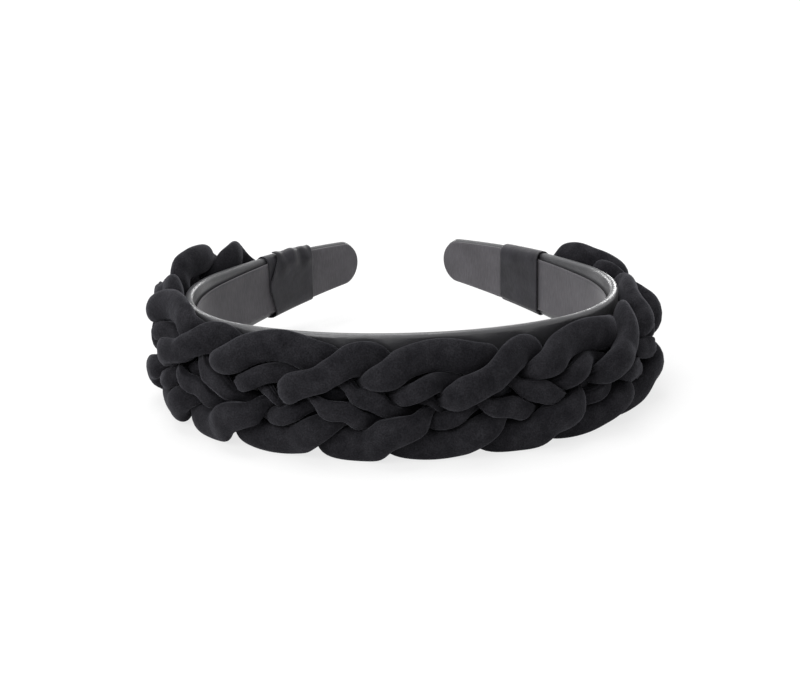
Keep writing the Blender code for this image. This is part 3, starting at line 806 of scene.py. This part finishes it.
def wound_way(set_back, past_rim):
    """Columns of a wound ribbon: share of the band's half width, length added, out, and set back."""
    corners = np.array([
        (-0.2, 0, UNDER), (1, -0.0010, UNDER), (1, 0.0004, -0.0012), (1, 0.0004, 0.0010),
        (0, TAIL_HALF, BACK), (0, -TAIL_HALF, BACK), (-1, -0.0004, 0.0010), (-1, -0.0004, -0.0018),
        (-1, 0.0010, OVER), (0.1, 0, OVER), (1, -0.0014, OVER),
        (1, past_rim, OVER + 0.0011), (1, past_rim, -0.0002),
    ])
    corners = np.column_stack([corners, set_back])
    stops = np.concatenate([[0], np.cumsum(SEGMENT_STEPS)])
    columns = np.stack([np.interp(np.arange(stops[-1] + 1), stops, values) for values in corners.T], axis=1)
    for _ in range(ROUNDING_PASSES):
        columns[1:-1] = (columns[:-2] + 2 * columns[1:-1] + columns[2:]) / 4
    turn_start, turn_end = stops[LAST_TURN_FROM], stops[LAST_TURN_TO]
    last_turn = np.clip((np.arange(len(columns)) - turn_start) / (turn_end - turn_start), 0, 1)
    return columns.T, last_turn


print("a wound ribbon is divided into", sum(SEGMENT_STEPS), "steps")

# %% [markdown]
# ## Folds in a binding
#
# A tight ribbon shows what lies under it: the tube ends make ribs on the outside. Its last turn is
# looser, so it crumples and bulges. A cloth simulation could find such folds, but they are few and
# small, so crossed waves along the last turn do it.

# %% Folds in a wound ribbon
BINDING_THICKNESS, BINDING_ROWS, CROWN_HEIGHT, CROWN_START = 0.0004, 45, 0.00025, 8
RIB_HEIGHT, RIBS_OUT, RIBS_REACH = 0.0002, 0.0032, 0.0008
CREASES = ((1100, 5, 0), (640, -9, 1))
FOLDS_START, FOLDS_REACH, LIP_START, LIP_REACH = 0.45, 0.4, 0.9, 0.1


def bound_ribbon(name, start, width, way, turned, crumple, columns, last_turn):
    """A ribbon wound round the band over a width, with its soft folds."""
    share, added, out, set_back = columns
    across = np.linspace(0, 1, BINDING_ROWS)[:, None]
    along = start + set_back + (width - set_back) * across
    up = share * band_half_width(along) + added
    ribs = np.cos(2 * math.pi * up / TAIL_PITCH) * smooth_step((out - RIBS_OUT) / RIBS_REACH)
    waves = sum(np.sin(fine * along + slant * last_turn + begin) for fine, slant, begin in CREASES)
    creases = (waves + len(CREASES)) / (2 * len(CREASES))
    folds = crumple * creases * smooth_step((last_turn - FOLDS_START) / FOLDS_REACH)
    crown = CROWN_HEIGHT * np.sin(math.pi * across) * smooth_step(last_turn * CROWN_START)
    drawn_in = smooth_step((along - start - width + TAIL_END_MARGIN) / TAIL_END_MARGIN)
    out = out + RIB_HEIGHT * ribs * (1 - drawn_in) - folds - crown
    out = out - np.maximum(out - CORD_FACE - BINDING_THICKNESS / 2, 0) * drawn_in
    up = up + folds * smooth_step((last_turn - LIP_START) / LIP_REACH)
    points = hoop_points(way * along, out, turned * up)
    piece, cut_size = bent_cloth(name + "_ribbon", points, binding)
    wall = piece.modifiers.new("ribbon_thickness", "SOLIDIFY")
    wall.thickness = BINDING_THICKNESS
    wall.offset = 0.0
    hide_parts(name)
    print(piece.name, "is cut", [round(v, 4) for v in cut_size], "m")


print("a binding has", BINDING_ROWS, "rows")

# %% [markdown]
# ## Winding the two bindings
#
# The left ribbon is a little wider, crumpled and folded over the rim. The right one is smooth, cut
# straight and wound the other way up. Mirroring one of them would be quicker, but the two real ends
# are plainly different.

# %% Bindings
CRUMPLE_LEFT, CRUMPLE_RIGHT = 0.0008, 0.00012
LEFT_WIDER, LEFT_PAST_RIM, RIGHT_PAST_RIM = 0.0012, 0.0009, -0.0012
bound_ribbon(
    "left_binding", LEFT_BINDING_START - LEFT_WIDER, LEFT_BINDING_WIDTH + LEFT_WIDER, -1, 1, CRUMPLE_LEFT,
    *wound_way(FOLDED_SET_BACK, LEFT_PAST_RIM),
)
bound_ribbon(
    "right_binding", RIGHT_BINDING_START, RIGHT_BINDING_WIDTH, 1, -1, CRUMPLE_RIGHT,
    *wound_way(STRAIGHT_SET_BACK, RIGHT_PAST_RIM),
)

# %% [markdown]
# ## The plastic hoop
#
# The springy core is the CAD node itself. The satin hides it, but it is a real piece, so it gets a
# finish too: black injection-moulded plastic with a faint flow pattern.

# %% Plastic finish
plastic, tree, shader = new_finish("black_plastic", Specular_IOR_Level=0.5)
place = add_node(tree, "TexCoord").outputs["Object"]
flow = add_node(tree, "TexNoise", Vector=place, Scale=140.0, Detail=3.0).outputs["Fac"]
tone = between(tree, flow, (0.3, (0.012, 0.012, 0.012)), (0.7, (0.02, 0.02, 0.02)))
tree.links.new(tone, shader.inputs["Base Color"])
matt = between(tree, flow, (0.3, (0.38, 0.38, 0.38)), (0.7, (0.5, 0.5, 0.5)))
tree.links.new(matt, shader.inputs["Roughness"])
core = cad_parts["band_core"]
core.data.materials.clear()
core.data.materials.append(plastic)
print("made", plastic.name, "for", core.name)

# %% [markdown]
# ## Rays that look at the backdrop
#
# A white backdrop should look white without throwing more light on the object. More lamps would wash
# out the black velvet, so the floor and the world ask which kind of ray has met them.

# %% Rays that look
def seen_directly(tree):
    """1 for rays from the camera, from a gloss or through glass, and 0 for scattered light."""
    ray = add_node(tree, "LightPath")
    gloss = add_node(tree, "Math", {"operation": "MAXIMUM"})
    tree.links.new(ray.outputs["Is Glossy Ray"], gloss.inputs[0])
    tree.links.new(ray.outputs["Is Transmission Ray"], gloss.inputs[1])
    seen = add_node(tree, "Math", {"operation": "MAXIMUM"})
    tree.links.new(ray.outputs["Is Camera Ray"], seen.inputs[0])
    tree.links.new(gloss.outputs[0], seen.inputs[1])
    return seen.outputs[0]


print("the backdrop can tell rays apart")

# %% [markdown]
# ## The floor
#
# The band lies on plain white paper. One large square is enough, because its far edge is lost in the
# white of the room.

# %% Floor
FLOOR_REACH = 3.0
floor_shape = bmesh.new()
bmesh.ops.create_grid(floor_shape, x_segments=1, y_segments=1, size=FLOOR_REACH)
floor_mesh = bpy.data.meshes.new("floor")
floor_shape.to_mesh(floor_mesh)
floor_shape.free()
floor = bpy.data.objects.new("floor", floor_mesh)
bpy.context.scene.collection.objects.link(floor)
print("the floor is", floor.dimensions.x, "m wide")

# %% [markdown]
# ## Paper
#
# Paper lit softly renders grey, so rays that look at it also see it glow a little. The rest of its
# surface is ordinary paper, which keeps the shadow of the object and lights it from below.

# %% Paper finish
PAPER_GLOW = 0.75
white = bpy.data.materials.new("white_paper")
white.use_nodes = True
tree = white.node_tree
tree.nodes.remove(tree.nodes["Principled BSDF"])
paper = add_node(tree, "BsdfDiffuse", Color=(0.9, 0.9, 0.9, 1.0))
glow = add_node(tree, "Emission", Color=(1.0, 1.0, 1.0, 1.0), Strength=1.0)
part = add_node(tree, "Math", {"operation": "MULTIPLY"})
tree.links.new(seen_directly(tree), part.inputs[0])
part.inputs[1].default_value = PAPER_GLOW
mix = add_node(tree, "MixShader", Fac=part.outputs[0])
tree.links.new(paper.outputs[0], mix.inputs[1])
tree.links.new(glow.outputs[0], mix.inputs[2])
tree.links.new(mix.outputs[0], tree.nodes["Material Output"].inputs["Surface"])
floor_mesh.materials.append(white)
print("made", white.name)

# %% [markdown]
# ## The room
#
# A pale room fills in the shadows. Its light could come from a sky image, but an even white is all
# that a product table has: dim where it lights the object, and white where it is looked at.

# %% World
ROOM_LIGHT = 0.5
world = bpy.data.worlds.new("studio")
bpy.context.scene.world = world
world.use_nodes = True
tree = world.node_tree
room = add_node(tree, "Background", Color=(1.0, 1.0, 1.0, 1.0), Strength=ROOM_LIGHT)
backdrop = add_node(tree, "Background", Color=(1.0, 1.0, 1.0, 1.0), Strength=1.0)
mix = add_node(tree, "MixShader", Fac=seen_directly(tree))
tree.links.new(room.outputs[0], mix.inputs[1])
tree.links.new(backdrop.outputs[0], mix.inputs[2])
tree.links.new(mix.outputs[0], tree.nodes["World Output"].inputs["Surface"])
print("made the world", world.name)

# %% [markdown]
# ## The lamps
#
# A product table has a large soft lamp above and one in front, a little to the left, so the left
# side is brighter. Two small lamps low at the back only graze the band: black satin shows them as a
# bright line where its edge turns, and the velvet as a pale fringe.

# %% Lamps
LAMP_AIM = Vector((0, 0.06, 0.02))


def soft_lamp(name, place, size, power):
    """A square lamp that looks at the middle of the band."""
    data = bpy.data.lights.new(name, "AREA")
    data.shape = "SQUARE"
    data.size = size
    data.energy = power
    lamp = bpy.data.objects.new(name, data)
    lamp.location = place
    lamp.rotation_euler = (LAMP_AIM - Vector(place)).to_track_quat("-Z", "Y").to_euler()
    bpy.context.scene.collection.objects.link(lamp)
    print(name, "has", power, "W")


soft_lamp("top_lamp", (-0.1, 0.2, 0.9), 0.7, 7.0)
soft_lamp("front_lamp", (-0.6, -0.6, 0.6), 0.6, 6.0)
soft_lamp("left_back_lamp", (-0.33, 0.95, 0.24), 0.25, 2.0)
soft_lamp("right_back_lamp", (0.33, 0.95, 0.24), 0.25, 2.0)
bpy.context.scene.view_settings.view_transform = "Standard"
